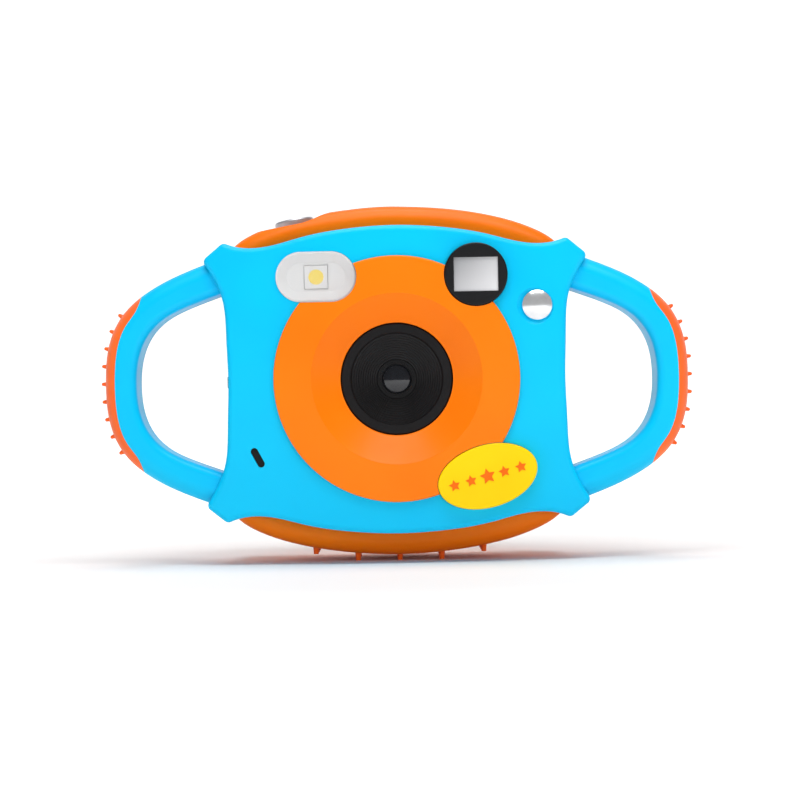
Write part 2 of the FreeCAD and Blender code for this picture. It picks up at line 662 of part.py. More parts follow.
def port_cover_pin():
    return Part.makeCylinder(COVER_PIN_RADIUS, 26.4, V(COVER_AXIS_X, COVER_AXIS_Y, -13.2))


# ---------------------------------------------------------------- lens and front details

def fascia_tube():
    """Solid that the fascia's funnel and bore are cut out of."""
    return disc((0, 0), FUNNEL_RADIUS + 1.5, -30, -12.6)


def lens_fascia():
    """Orange disc with a conical funnel around the lens."""
    plate_part = disc((0, 0), FASCIA_RADIUS, -30, FASCIA_BACK_Y).common(front_dome(FASCIA_APEX_Y))
    boxes = [(edge, edge.BoundBox) for edge in plate_part.Edges]
    rim = [edge for edge, box in boxes if box.YMax < FASCIA_BACK_Y - 0.1 and box.XLength > 40]
    plate_part = plate_part.makeFillet(0.45, rim)
    body = plate_part.fuse(fascia_tube().common(front_dome(FASCIA_APEX_Y)))
    funnel = revolved([(0, -30), (FUNNEL_RADIUS + 3.6, -30), (FUNNEL_RADIUS, FUNNEL_RIM_Y),
                       (HOOD_RADIUS + 0.3, FUNNEL_BOTTOM_Y), (HOOD_RADIUS + FIT, FUNNEL_BOTTOM_Y),
                       (HOOD_RADIUS + FIT, -10), (0, -10)])
    funnel = funnel.fuse(disc((0, 0), FUNNEL_RADIUS, -30, FUNNEL_RIM_Y + 0.01))
    return body.cut([funnel] + front_details(FIT)).removeSplitter()


def lens_hood():
    """Black ring with a stepped light baffle that narrows to the front lens."""
    profile = [(HOOD_RADIUS, HOOD_BACK_Y), (HOOD_RADIUS, HOOD_FRONT_Y + 0.3)]
    profile.append((HOOD_RADIUS - 0.3, HOOD_FRONT_Y))
    radius, y = HOOD_BEVEL_RADIUS, HOOD_FRONT_Y
    profile.append((radius + 0.35, y))
    step_in = (HOOD_BEVEL_RADIUS - HOOD_BORE) / BAFFLE_STEPS
    step_back = (HOOD_THROAT_Y - HOOD_FRONT_Y - 0.5) / BAFFLE_STEPS
    y += 0.5
    for _ in range(BAFFLE_STEPS):
        profile.append((radius, y))
        radius -= step_in
        profile.append((radius + step_in * 0.25, y + step_back * 0.2))
        y += step_back
    profile += [(HOOD_BORE, HOOD_THROAT_Y), (HOOD_BORE, HOOD_BACK_Y)]
    return revolved(profile)


def lens_barrel():
    """Threaded barrel: a nose inside the hood and a thick body behind it."""
    nose = HOOD_BORE - 0.05
    bore = LENS_RADIUS
    rear_bore = REAR_LENS_RADIUS
    return revolved([(nose, HOOD_THROAT_Y + 0.2), (nose, HOOD_BACK_Y + 0.1),
                     (BARREL_RADIUS, HOOD_BACK_Y + 0.1), (BARREL_RADIUS, BARREL_BACK_Y),
                     (rear_bore, BARREL_BACK_Y), (rear_bore, -4.5), (2.0, -4.5),
                     (2.0, -7.6), (bore, -7.6), (bore, HOOD_THROAT_Y + 0.2)])


def biconvex(radius, y_front, y_back, bulge):
    """Lens with two spherical faces that bulge out of a round rim."""
    ball_radius = (radius ** 2 + bulge ** 2) / (2 * bulge)
    front = Part.makeSphere(ball_radius, V(0, y_front - bulge + ball_radius, 0))
    back = Part.makeSphere(ball_radius, V(0, y_back + bulge - ball_radius, 0))
    return disc((0, 0), radius, y_front - bulge, y_back + bulge).common(front).common(back)


def lens_retainer_ring():
    outer = LENS_RADIUS - 0.02
    inner = RETAINER_RADIUS
    return revolved([(outer, -10.9), (outer, -10.0), (inner, -10.0), (inner + 0.25, -10.9)])


def lens_holder():
    base = plate((0, 0), (16, 16), -1.5, BOARD_FRONT_Y)
    neck = disc((0, 0), BARREL_RADIUS + 1.4, -5.0, -1.5)
    pocket = plate((0, 0), (10, 10), -0.4, BOARD_FRONT_Y + 1)
    bore = disc((0, 0), BARREL_RADIUS + FIT / 2, -9, -0.9)
    return base.fuse(neck).cut([bore, disc((0, 0), 4.0, -2, 0), pocket])


def flash_window():
    """Clear cover of the flash, standing a little proud of the front."""
    body = stadium(FLASH_CENTRE, FLASH_LENGTH, FLASH_HEIGHT, FLASH_FRONT_Y, REFLECTOR_FRONT_Y - FIT / 2)
    return body.makeFillet(0.5, edges_at_y(body, FLASH_FRONT_Y))


def flash_reflector():
    """White dish behind the window: a flange of the window's outline and a tray around the light."""
    flange = stadium(FLASH_CENTRE, FLASH_LENGTH, FLASH_HEIGHT, REFLECTOR_FRONT_Y, FLASH_SEAT_Y - FIT / 2)
    tray = stadium(FLASH_CENTRE, FLASH_LENGTH - 2.2, FLASH_HEIGHT - 2.2, FLASH_SEAT_Y - FIT, REFLECTOR_BACK_Y)
    rim = stadium_wire(FLASH_CENTRE, FLASH_LENGTH - 0.8, FLASH_HEIGHT - 0.8, REFLECTOR_FRONT_Y - 0.01)
    floor = stadium_wire(FLASH_CENTRE, FLASH_LENGTH - 4.6, FLASH_HEIGHT - 4.6, REFLECTOR_FLOOR_Y)
    dish = Part.makeLoft([rim, floor], True, True)
    hole_side = LED_SIDE + 2.4 * FIT
    light_hole = plate(FLASH_CENTRE, (hole_side, hole_side), REFLECTOR_FRONT_Y, REFLECTOR_BACK_Y + 1)
    return flange.fuse(tray).cut([dish, light_hole])


def flash_led():
    body = plate(FLASH_CENTRE, (LED_SIDE, LED_SIDE), LED_FRONT_Y, REFLECTOR_BACK_Y)
    return body.cut(disc(FLASH_CENTRE, PHOSPHOR_RADIUS, LED_FRONT_Y - 1, LED_FRONT_Y + 0.5))


def led_phosphor():
    return disc(FLASH_CENTRE, PHOSPHOR_RADIUS, LED_FRONT_Y + 0.05, LED_FRONT_Y + 0.5)


def viewfinder_bezel():
    body = disc(VIEWFINDER_CENTRE, VIEWFINDER_RADIUS, VIEWFINDER_FRONT_Y, -16.7)
    body = body.makeFillet(0.4, edges_at_y(body, VIEWFINDER_FRONT_Y))
    body = body.fuse(disc(VIEWFINDER_CENTRE, VIEWFINDER_NECK_RADIUS, -16.8, VIEWFINDER_NECK_Y))
    return body.cut(plate(VIEWFINDER_CENTRE, VIEWFINDER_WINDOW, -25, -10))


def viewfinder_front_window():
    return plate(VIEWFINDER_CENTRE, VIEWFINDER_WINDOW, VIEWFINDER_FRONT_Y + 0.35, VIEWFINDER_FRONT_Y + 1.35)


def viewfinder_tube():
    wide, high = VIEWFINDER_WINDOW
    walls = 2 * VIEWFINDER_TUBE_WALL
    outer = plate(VIEWFINDER_CENTRE, (wide + walls, high + walls), VIEWFINDER_NECK_Y + FIT, BACK_Y - 2.3)
    return outer.cut(plate(VIEWFINDER_CENTRE, VIEWFINDER_WINDOW, -20, 20))


def viewfinder_eyepiece():
    """Round eyepiece ring, clipped into the back."""
    flange = disc(VIEWFINDER_CENTRE, EYEPIECE_RADIUS, BACK_Y, EYEPIECE_BACK_Y)
    flange = flange.makeFillet(0.5, edges_at_y(flange, EYEPIECE_BACK_Y))
    spigot = disc(VIEWFINDER_CENTRE, EYEPIECE_RADIUS - 0.8, BACK_Y - 2.2, BACK_Y)
    return flange.fuse(spigot).cut(disc(VIEWFINDER_CENTRE, EYEPIECE_RADIUS - 2.0, 10, 25))


def viewfinder_rear_window():
    return disc(VIEWFINDER_CENTRE, EYEPIECE_RADIUS - 2.0, BACK_Y - 1.0, BACK_Y)


def selfie_mirror():
    """Polished dome in a round recess, for framing one's own face."""
    middle = V(MIRROR_CENTRE[0], MIRROR_APEX_Y + MIRROR_BALL_RADIUS, MIRROR_CENTRE[1])
    ball = Part.makeSphere(MIRROR_BALL_RADIUS, middle)
    return ball.common(disc(MIRROR_CENTRE, MIRROR_RADIUS, MIRROR_APEX_Y - 1, MIRROR_BASE_Y))


def badge_plate():
    body = oval(BADGE_CENTRE, BADGE_HALF_LENGTH, BADGE_HALF_HEIGHT, BADGE_TILT, BADGE_FRONT_Y, -17.1)
    return body.makeFillet(0.35, edges_at_y(body, BADGE_FRONT_Y))


def star(radius, y_from, y_to):
    points = []
    for index in range(10):
        angle = math.radians(90 + 36 * index)
        reach = radius if index % 2 == 0 else radius * 0.5
        points.append(V(reach * math.cos(angle), 0, reach * math.sin(angle)))
    return prism(Part.Face(Part.makePolygon(points + points[:1])), y_from, y_to)


def badge_stars():
    """A generic row of raised stars along the badge."""
    stars = []
    for index in range(-2, 3):
        size = 1.75 if index == 0 else 1.3
        piece = star(size, BADGE_FRONT_Y - 0.12, BADGE_FRONT_Y)
        piece.translate(V(index * 3.7, 0, 0))
        piece.rotate(V(0, 0, 0), V(0, 1, 0), -BADGE_TILT)
        piece.translate(V(BADGE_CENTRE[0], 0, BADGE_CENTRE[1]))
        stars.append(piece)
    return Part.makeCompound(stars)


def mic_mesh():
    return mic_slot(0.0, MIC_FACE_Y, MIC_FACE_Y + 1.3)


def microphone():
    return disc(MIC_CENTRE, 2.4, -14.2, -12.0)


# ---------------------------------------------------------------- controls

def round_key(name):
    x, z, radius = ROUND_KEYS[name]
    cap = disc((x, z), radius, KEY_FLANGE_Y, KEY_FACE_Y)
    cap = cap.makeFillet(0.45, edges_at_y(cap, KEY_FACE_Y))
    lip = 0.6 if name == "key_ok" else KEY_FLANGE_LIP
    return cap.fuse(disc((x, z), radius + lip, KEY_FLANGE_Y - KEY_FLANGE_THICKNESS, KEY_FLANGE_Y))


def arrow_key(angle):
    cap = arrow_sector(ARROW_INNER_RADIUS, ARROW_OUTER_RADIUS, ARROW_HALF_ANGLE, KEY_FLANGE_Y, KEY_FACE_Y)
    cap = cap.makeFillet(0.6, edges_along_y(cap))
    cap = cap.makeFillet(0.4, edges_at_y(cap, KEY_FACE_Y))
    flange = arrow_sector(ARROW_INNER_RADIUS, ARROW_OUTER_RADIUS + KEY_FLANGE_LIP, ARROW_HALF_ANGLE + 3.0,
                          KEY_FLANGE_Y - KEY_FLANGE_THICKNESS, KEY_FLANGE_Y)
    return around_arrows(cap.fuse(flange), angle)


def key_centres():
    places = [(x, z) for x, z, radius in ROUND_KEYS.values()]
    reach = (ARROW_INNER_RADIUS + ARROW_OUTER_RADIUS) / 2
    for angle in ARROW_KEYS.values():
        turn = math.radians(angle)
        places.append((ARROWS_CENTRE[0] + reach * math.cos(turn), ARROWS_CENTRE[1] + reach * math.sin(turn)))
    return places


def key_switches():
    """One small push switch behind each key."""
    switches = []
    for x, z in key_centres():
        case = plate((x, z), (3.2, 3.2), KEY_BOARD_BACK_Y, KEY_SWITCH_TOP_Y - 0.7)
        switches.append(case.fuse(disc((x, z), 0.9, KEY_SWITCH_TOP_Y - 0.7, KEY_SWITCH_TOP_Y)))
    return Part.makeCompound(switches)


def key_board():
    board = block(-30.4, -12.8, KEY_BOARD_BACK_Y - 1.2, KEY_BOARD_BACK_Y, -12.6, 23.6)
    return board.cut(disc(SCREW_PLACES[1], 4.0, 0, 20))


def shutter_button():
    cap_base = V(SHUTTER_ALONG, 0, SHUTTER_FLANGE_TOP)
    cap = Part.makeCylinder(SHUTTER_RADIUS, SHUTTER_PROUD - SHUTTER_FLANGE_TOP, cap_base)
    top = [edge for edge in cap.Edges if abs(edge.BoundBox.ZMin - SHUTTER_PROUD) < 1e-4]
    cap = cap.makeFillet(0.55, top)
    below = V(SHUTTER_ALONG, 0, SHUTTER_FLANGE_TOP - SHUTTER_FLANGE_THICKNESS)
    flange = Part.makeCylinder(SHUTTER_RADIUS + 0.7, SHUTTER_FLANGE_THICKNESS, below)
    return seat_frame(cap.fuse(flange))


def shutter_switch():
    case_top = SHUTTER_PLUNGER_TOP - 0.5
    case = Part.makeBox(6.0, 6.0, 3.0, V(SHUTTER_ALONG - 3.0, -3.0, case_top - 3.0))
    plunger = Part.makeCylinder(1.6, 0.5, V(SHUTTER_ALONG, 0, case_top))
    return seat_frame(case.fuse(plunger))


def shutter_board():
    top = SHUTTER_PLUNGER_TOP - 3.5
    return seat_frame(Part.makeBox(7.6, 9.0, 1.0, V(SHUTTER_ALONG - 3.8, -4.5, top - 1.0)))


# ---------------------------------------------------------------- inside

def main_board():
    return block(-30.6, 30.0, BOARD_FRONT_Y, BOARD_BACK_Y, -20.5, 16.4)


def image_sensor():
    return plate((0, 0), (8, 8), 1.2, BOARD_FRONT_Y)


def infrared_filter():
    return plate((0, 0), (9.8, 9.8), -0.4, 0.1)


def flash_board():
    return plate(FLASH_CENTRE, (16, 9), REFLECTOR_BACK_Y, REFLECTOR_BACK_Y + 1)


def display_panel():
    return plate(DISPLAY_CENTRE, DISPLAY_PANEL, BACK_Y - 4.8, BACK_Y - 2.4)


def display_frame():
    outer = plate(DISPLAY_CENTRE, DISPLAY_FRAME, BACK_Y - 6.2, BACK_Y - 3.2)
    pocket = plate(DISPLAY_CENTRE, DISPLAY_PANEL, BACK_Y - 4.8, BACK_Y)
    return outer.cut([pocket, plate(DISPLAY_CENTRE, (30, 22), 5, BACK_Y)])


def display_window():
    size = (DISPLAY_WINDOW[0] + 2.2, DISPLAY_WINDOW[1] + 2.2)
    return plate(DISPLAY_CENTRE, size, BACK_Y - 1.1, BACK_Y - 0.1)


def speaker():
    body = disc(SPEAKER_CENTRE, SPEAKER_RADIUS, 12.6, 16.2)
    return body.cut(disc(SPEAKER_CENTRE, SPEAKER_RADIUS - 0.9, 15.4, 17))


def battery():
    cell = block(-8.0, 27.0, 4.2, 10.2, -18.0, 9.0)
    return cell.makeFillet(1.4, [edge for edge in cell.Edges if edge.BoundBox.XLength > 30])


def battery_bracket():
    plate_part = block(-9.2, 28.2, 10.2, 11.2, -19.2, 10.2)
    lips = [block(x, x + 1.1, BOARD_BACK_Y, 10.2, -19.2, 10.2) for x in (-9.2, 27.1)]
    return plate_part.fuse(lips).removeSplitter()


def usb_port():
    """Small shell connector, open towards the cover."""
    body = block(USB_MOUTH_X, -28.6, BOARD_BACK_Y, BOARD_BACK_Y + 2.6, USB_Z - 3.75, USB_Z + 3.75)
    mouth = block(-35, -30.2, BOARD_BACK_Y + 0.35, BOARD_BACK_Y + 2.25, USB_Z - 3.4, USB_Z + 3.4)
    tongue = block(USB_MOUTH_X + 0.6, -30.2, BOARD_BACK_Y + 1.0, BOARD_BACK_Y + 1.6, USB_Z - 2.2, USB_Z + 2.2)
    return body.cut(mouth).fuse(tongue).removeSplitter()


def card_socket():
    body = block(-30.6, -16.0, BOARD_BACK_Y, 5.0, CARD_Z - 6.0, CARD_Z + 6.0)
    return body.cut(block(-31, -18.2, 3.7, 4.55, CARD_Z - 5.55, CARD_Z + 5.55))


def memory_card():
    return block(-33.6, -18.6, 3.75, 4.5, CARD_Z - 5.5, CARD_Z + 5.5)


def case_screws():
    """Four pan-head screws from the back."""
    screws = []
    for place in SCREW_PLACES:
        head = disc(place, SCREW_HEAD_RADIUS, SCREW_SEAT_Y, SCREW_SEAT_Y + 1.3)
        head = head.makeFillet(0.4, edges_at_y(head, SCREW_SEAT_Y + 1.3))
        slots = [plate(place, size, SCREW_SEAT_Y + 0.6, 20) for size in ((2.2, 0.5), (0.5, 2.2))]
        screws.append(head.fuse(disc(place, SCREW_SHANK_RADIUS, -13.0, SCREW_SEAT_Y)).cut(slots))
    return Part.makeCompound(screws)


PIECES = {
    "front_shell": front_shell,
    "rear_shell": rear_shell,
    "base_grip_pad": base_grip_pad,
    "port_cover": port_cover,
    "port_cover_pin": port_cover_pin,
    "lens_fascia": lens_fascia,
    "lens_hood": lens_hood,
    "lens_barrel": lens_barrel,
    "lens_retainer_ring": lens_retainer_ring,
    "front_lens": lambda: biconvex(LENS_RADIUS, -9.6, -8.6, 0.55),
    "rear_lens": lambda: biconvex(REAR_LENS_RADIUS, -3.4, -2.6, 0.4),
    "lens_holder": lens_holder,
    "infrared_filter": infrared_filter,
    "image_sensor": image_sensor,
    "flash_window": flash_window,
    "flash_reflector": flash_reflector,
    "flash_led": flash_led,
    "led_phosphor": led_phosphor,
    "flash_board": flash_board,
    "viewfinder_bezel": viewfinder_bezel,
    "viewfinder_front_window": viewfinder_front_window,
    "viewfinder_tube": viewfinder_tube,
    "viewfinder_eyepiece": viewfinder_eyepiece,
    "viewfinder_rear_window": viewfinder_rear_window,
    "selfie_mirror": selfie_mirror,
    "badge_plate": badge_plate,
    "badge_stars": badge_stars,
    "mic_mesh": mic_mesh,
    "microphone": microphone,
    "shutter_button": shutter_button,
    "shutter_switch": shutter_switch,
    "shutter_board": shutter_board,
    "key_switches": key_switches,
    "key_board": key_board,
    "main_board": main_board,
    "display_panel": display_panel,
    "display_frame": display_frame,
    "display_window": display_window,
    "speaker": speaker,
    "battery": battery,
    "battery_bracket": battery_bracket,
    "usb_port": usb_port,
    "card_socket": card_socket,
    "memory_card": memory_card,
    "case_screws": case_screws,
}


def export(name, shape):
    """Write one piece, raised so that the camera stands on the plane z = 0."""
    raised = shape.translated(V(0, 0, LENS_HEIGHT))
    raised.exportStep(os.path.join("parts", name + ".step"))
    print(f"{name:26s} valid {raised.isValid()} solids {len(raised.Solids)} volume {raised.Volume:9.1f}")


def main():
    os.makedirs("parts", exist_ok=True)
    for name, make in PIECES.items():
        export(name, make())
    for name in ROUND_KEYS:
        export(name, round_key(name))
    for name, angle in ARROW_KEYS.items():
        export(name, arrow_key(angle))
    for half, side in (("front", -1), ("rear", 1)):
        right = handle_half(side)
        export("right_handle_" + half, right)
        export("left_handle_" + half, mirrored(right))
    pad = grip_pad()
    export("right_grip_pad", pad)
    export("left_grip_pad", mirrored(pad))


main()
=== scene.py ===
"""Looks of the kids digital camera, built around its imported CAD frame. Metres, +Z up, lens towards -Y."""
import json
import math

import bmesh
import bpy
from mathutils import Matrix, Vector


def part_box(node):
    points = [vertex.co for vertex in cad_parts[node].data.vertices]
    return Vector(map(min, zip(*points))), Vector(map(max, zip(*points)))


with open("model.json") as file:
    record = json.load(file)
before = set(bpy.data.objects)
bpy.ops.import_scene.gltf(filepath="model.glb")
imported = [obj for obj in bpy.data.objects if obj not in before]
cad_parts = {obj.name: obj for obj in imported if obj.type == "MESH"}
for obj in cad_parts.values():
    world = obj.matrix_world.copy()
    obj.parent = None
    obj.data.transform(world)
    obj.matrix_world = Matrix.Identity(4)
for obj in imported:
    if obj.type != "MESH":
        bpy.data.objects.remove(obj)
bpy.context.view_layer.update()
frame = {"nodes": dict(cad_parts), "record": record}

NODES = frame["nodes"]

CAMERA_DISTANCE = 0.5      # from the plane of the handles
CAMERA_PLANE_Y = -0.007
CAMERA_X = 0.0006
CAMERA_HEIGHT = 0.0354
CAMERA_ROLL = 1.05
SENSOR_WIDTH = 36.0
FRAME_WIDTH = 0.176        # what the frame spans at that plane
OBJECT_MIDDLE = (0.0, 0.0, 0.04)
WORLD_STRENGTH = 0.14
PAINTED_REFLECTION_REACH = 0.008       # how far the painted reflection on the viewfinder window ramps each way

SWEEP_HALF_WIDTH = 1.6
SWEEP_FRONT_Y = -1.6
SWEEP_BEND_Y = 0.7
SWEEP_BEND_RADIUS = 0.5
SWEEP_HEIGHT = 1.6
SWEEP_STEPS = 16
GLOW_REACH = (0.08, 0.3)   # how far from the origin the paper's glow begins and is full
GLOW_STRENGTH = 0.5


# ---------------------------------------------------------------- colours

def srgb(red, green, blue):
    """Linear colour from 0 to 255 display values."""
    def linear(value):
        value /= 255
        return value / 12.92 if value <= 0.04045 else ((value + 0.055) / 1.055) ** 2.4

    return (linear(red), linear(green), linear(blue), 1.0)


BLUE = srgb(0, 200, 246)
BLUE_DEEP = srgb(0, 192, 242)
ORANGE_SHELL = srgb(252, 122, 2)
ORANGE_SHELL_DEEP = srgb(248, 112, 0)
ORANGE_FASCIA = srgb(252, 128, 6)
ORANGE_FASCIA_DEEP = srgb(250, 120, 2)
ORANGE_RUBBER = srgb(255, 108, 0)
ORANGE_RUBBER_DEEP = srgb(245, 92, 0)
YELLOW = srgb(252, 220, 10)
YELLOW_DEEP = srgb(245, 206, 0)


# ---------------------------------------------------------------- materials

def new_material(name):
    material = bpy.data.materials.new(name)
    material.use_nodes = True
    tree = material.node_tree
    shader = tree.nodes["Principled BSDF"]
    return material, tree, shader


def object_coordinates(tree):
    return tree.nodes.new("ShaderNodeTexCoord").outputs["Object"]


def noise(tree, coordinates, scale, detail=4.0, roughness=0.55):
    node = tree.nodes.new("ShaderNodeTexNoise")
    node.inputs["Scale"].default_value = scale
    node.inputs["Detail"].default_value = detail
    node.inputs["Roughness"].default_value = roughness
    tree.links.new(coordinates, node.inputs["Vector"])
    return node.outputs["Fac"]


def span(tree, value, low, high, from_low=0.3, from_high=0.7):
    """Maps a texture value onto a range."""
    node = tree.nodes.new("ShaderNodeMapRange")
    node.inputs["From Min"].default_value = from_low
    node.inputs["From Max"].default_value = from_high
    node.inputs["To Min"].default_value = low
    node.inputs["To Max"].default_value = high
    tree.links.new(value, node.inputs["Value"])
    return node.outputs["Result"]


def blend_colours(tree, factor, first, second):
    node = tree.nodes.new("ShaderNodeMix")
    node.data_type = "RGBA"
    node.inputs["A"].default_value = first
    node.inputs["B"].default_value = second
    tree.links.new(factor, node.inputs["Factor"])
    return node.outputs["Result"]


def bump(tree, height, strength, distance):
    node = tree.nodes.new("ShaderNodeBump")
    node.inputs["Strength"].default_value = strength
    node.inputs["Distance"].default_value = distance
    tree.links.new(height, node.inputs["Height"])
    return node.outputs["Normal"]


def moulded(name, colour, deep, rough=(0.3, 0.4), grain=5200.0, grain_strength=0.12, subsurface=0.0):
    """Injection-moulded plastic: slight colour drift, fine spark-eroded grain and uneven polish."""
    material, tree, shader = new_material(name)
    shader.inputs["Specular IOR Level"].default_value = 0.2
    where = object_coordinates(tree)
    drift = span(tree, noise(tree, where, 38.0, 2.0), 0.0, 1.0)
    tree.links.new(blend_colours(tree, drift, colour, deep), shader.inputs["Base Color"])
    smudge = noise(tree, where, 130.0, 5.0, 0.65)
    tree.links.new(span(tree, smudge, *rough), shader.inputs["Roughness"])
    fine = noise(tree, where, grain, 3.0, 0.6)
    tree.links.new(bump(tree, fine, grain_strength, 0.00008), shader.inputs["Normal"])
    shader.inputs["Subsurface Weight"].default_value = subsurface
    shader.inputs["Subsurface Radius"].default_value = (0.9, 0.6, 0.5)
    shader.inputs["Subsurface Scale"].default_value = 0.0015
    return material


def rubbery(name, colour, deep):
    """Soft TPU: matt, pebbled and a little dusty."""
    material, tree, shader = new_material(name)
    where = object_coordinates(tree)
    drift = span(tree, noise(tree, where, 60.0, 3.0), 0.0, 1.0)
    tree.links.new(blend_colours(tree, drift, colour, deep), shader.inputs["Base Color"])
    tree.links.new(span(tree, noise(tree, where, 240.0, 4.0), 0.52, 0.68), shader.inputs["Roughness"])
    pebble = tree.nodes.new("ShaderNodeTexVoronoi")
    pebble.inputs["Scale"].default_value = 2400.0
    tree.links.new(where, pebble.inputs["Vector"])
    tree.links.new(bump(tree, pebble.outputs["Distance"], 0.18, 0.0001), shader.inputs["Normal"])
    shader.inputs["Sheen Weight"].default_value = 0.25
    shader.inputs["Sheen Roughness"].default_value = 0.5
    shader.inputs["Subsurface Weight"].default_value = 0.08
    shader.inputs["Subsurface Scale"].default_value = 0.0012
    return material


def metal(name, colour, rough=(0.22, 0.34), brushed=True, plated=1.0):
    """Metal, or plastic plated with it, with streaks in its polish."""
    material, tree, shader = new_material(name)
    where = object_coordinates(tree)
    shader.inputs["Metallic"].default_value = plated
    drift = span(tree, noise(tree, where, 500.0, 3.0), 0.0, 1.0)
    darker = tuple(0.86 * part for part in colour[:3]) + (1.0,)
    tree.links.new(blend_colours(tree, drift, colour, darker), shader.inputs["Base Color"])
    if brushed:
        stretch = tree.nodes.new("ShaderNodeMapping")
        stretch.inputs["Scale"].default_value = (1.0, 18.0, 18.0)
        tree.links.new(where, stretch.inputs["Vector"])
        where = stretch.outputs["Vector"]
    streaks = noise(tree, where, 420.0, 6.0, 0.7)
    tree.links.new(span(tree, streaks, *rough), shader.inputs["Roughness"])
    tree.links.new(bump(tree, streaks, 0.05, 0.00004), shader.inputs["Normal"])
    return material


def viewfinder_painted_reflection():
    """Viewfinder window: pale grey with a painted reflection, darker at the top left."""
    material, tree, shader = new_material("viewfinder_painted_reflection")
    where = object_coordinates(tree)
    split = tree.nodes.new("ShaderNodeSeparateXYZ")
    tree.links.new(where, split.inputs["Vector"])
    slope = tree.nodes.new("ShaderNodeMath")
    slope.operation = "SUBTRACT"
    tree.links.new(split.outputs["X"], slope.inputs[0])
    tree.links.new(split.outputs["Z"], slope.inputs[1])
    low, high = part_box("viewfinder_front_window")
    middle = (low[0] + high[0] - low[2] - high[2]) / 2
    # Painted reflection: the grey ramps darker towards the top left along x minus z.
    painted_reflection_ramp = span(tree, slope.outputs["Value"], 0.0, 1.0, middle - PAINTED_REFLECTION_REACH, middle + PAINTED_REFLECTION_REACH)
    painted_reflection_colour = blend_colours(tree, painted_reflection_ramp, srgb(146, 147, 150), srgb(226, 226, 228))
    tree.links.new(painted_reflection_colour, shader.inputs["Base Color"])
    tree.links.new(span(tree, noise(tree, where, 300.0, 4.0), 0.3, 0.4), shader.inputs["Roughness"])
    return material


def clear(name, colour, rough=0.02, transmission=1.0, index=1.49, haze=None, opacity=1.0):
    """Glass or clear acrylic, with faint smears in its polish."""
    material, tree, shader = new_material(name)
    where = object_coordinates(tree)
    tint = span(tree, noise(tree, where, 90.0, 2.0), 0.0, 1.0)
    darker = tuple(0.97 * part for part in colour[:3]) + (1.0,)
    tree.links.new(blend_colours(tree, tint, colour, darker), shader.inputs["Base Color"])
    polish = span(tree, noise(tree, where, 300.0, 4.0), rough, haze or rough * 2.5)
    tree.links.new(polish, shader.inputs["Roughness"])
    shader.inputs["Transmission Weight"].default_value = transmission
    shader.inputs["IOR"].default_value = index
    shader.inputs["Alpha"].default_value = opacity
    return material


def circuit_board():
    """Green solder mask over faint copper tracks."""
    material, tree, shader = new_material("solder_mask")
    where = object_coordinates(tree)
    tracks = tree.nodes.new("ShaderNodeTexBrick")
    tracks.inputs["Scale"].default_value = 260.0
    tracks.inputs["Color1"].default_value = srgb(14, 84, 44)
    tracks.inputs["Color2"].default_value = srgb(18, 96, 52)
    tracks.inputs["Mortar"].default_value = srgb(52, 128, 70)
    tree.links.new(where, tracks.inputs["Vector"])
    tree.links.new(tracks.outputs["Color"], shader.inputs["Base Color"])
    tree.links.new(span(tree, noise(tree, where, 200.0), 0.3, 0.42), shader.inputs["Roughness"])
    return material


MATERIALS = {
    "blue_abs": moulded("blue_abs", BLUE, BLUE_DEEP, rough=(0.34, 0.44), subsurface=0.05),
    "orange_abs": moulded("orange_abs", ORANGE_SHELL, ORANGE_SHELL_DEEP,
                          rough=(0.34, 0.44), subsurface=0.05),
    "orange_fascia": moulded("orange_fascia", ORANGE_FASCIA, ORANGE_FASCIA_DEEP,
                             rough=(0.36, 0.44), grain=3800.0),
    "orange_rubber": rubbery("orange_rubber", ORANGE_RUBBER, ORANGE_RUBBER_DEEP),
    "black_plastic": moulded("black_plastic", srgb(20, 20, 21), srgb(28, 28, 30), rough=(0.32, 0.46)),
    "grey_rubber": rubbery("grey_rubber", srgb(52, 54, 58), srgb(44, 46, 50)),
    "lens_glass": clear("lens_glass", srgb(30, 32, 38), rough=0.03, transmission=0.2, index=1.6),
    "clear_window": clear("clear_window", srgb(244, 246, 250), rough=0.015),
    "flash_cover": clear("flash_cover", srgb(252, 252, 252),
                         rough=0.08, transmission=0.0, haze=0.14, opacity=0.1),
    "display_glass": moulded("display_glass", srgb(12, 13, 16), srgb(16, 17, 21),
                             rough=(0.04, 0.09), grain_strength=0.0),
    "mirror_chrome": metal("mirror_chrome", srgb(248, 249, 251),
                           rough=(0.16, 0.22), brushed=False, plated=0.7),
    "silver_plastic": metal("silver_plastic", srgb(206, 208, 214),
                            rough=(0.38, 0.46), brushed=False, plated=0.8),
    "yellow_plastic": moulded("yellow_plastic", YELLOW, YELLOW_DEEP, rough=(0.3, 0.4)),
    "white_plastic": moulded("white_plastic", srgb(214, 214, 214), srgb(208, 209, 210), rough=(0.4, 0.5)),
    "blue_keys": moulded("blue_keys", BLUE, BLUE_DEEP, rough=(0.28, 0.36)),
    "phosphor": moulded("phosphor", srgb(236, 208, 0), srgb(230, 200, 0),
                        rough=(0.45, 0.6), grain_strength=0.3),
    "orange_print": moulded("orange_print", srgb(250, 120, 20), srgb(242, 106, 12), rough=(0.4, 0.5)),
    "circuit_board": circuit_board(),
    "steel": metal("steel", srgb(186, 188, 192)),
    "sensor_dark": moulded("sensor_dark", srgb(30, 32, 44), srgb(40, 36, 60),
                           rough=(0.08, 0.16), grain_strength=0.02),
    "battery_foil": metal("battery_foil", srgb(176, 180, 186), rough=(0.34, 0.5)),
    "filter_glass": clear("filter_glass", srgb(150, 214, 220), rough=0.01, index=1.52),
}


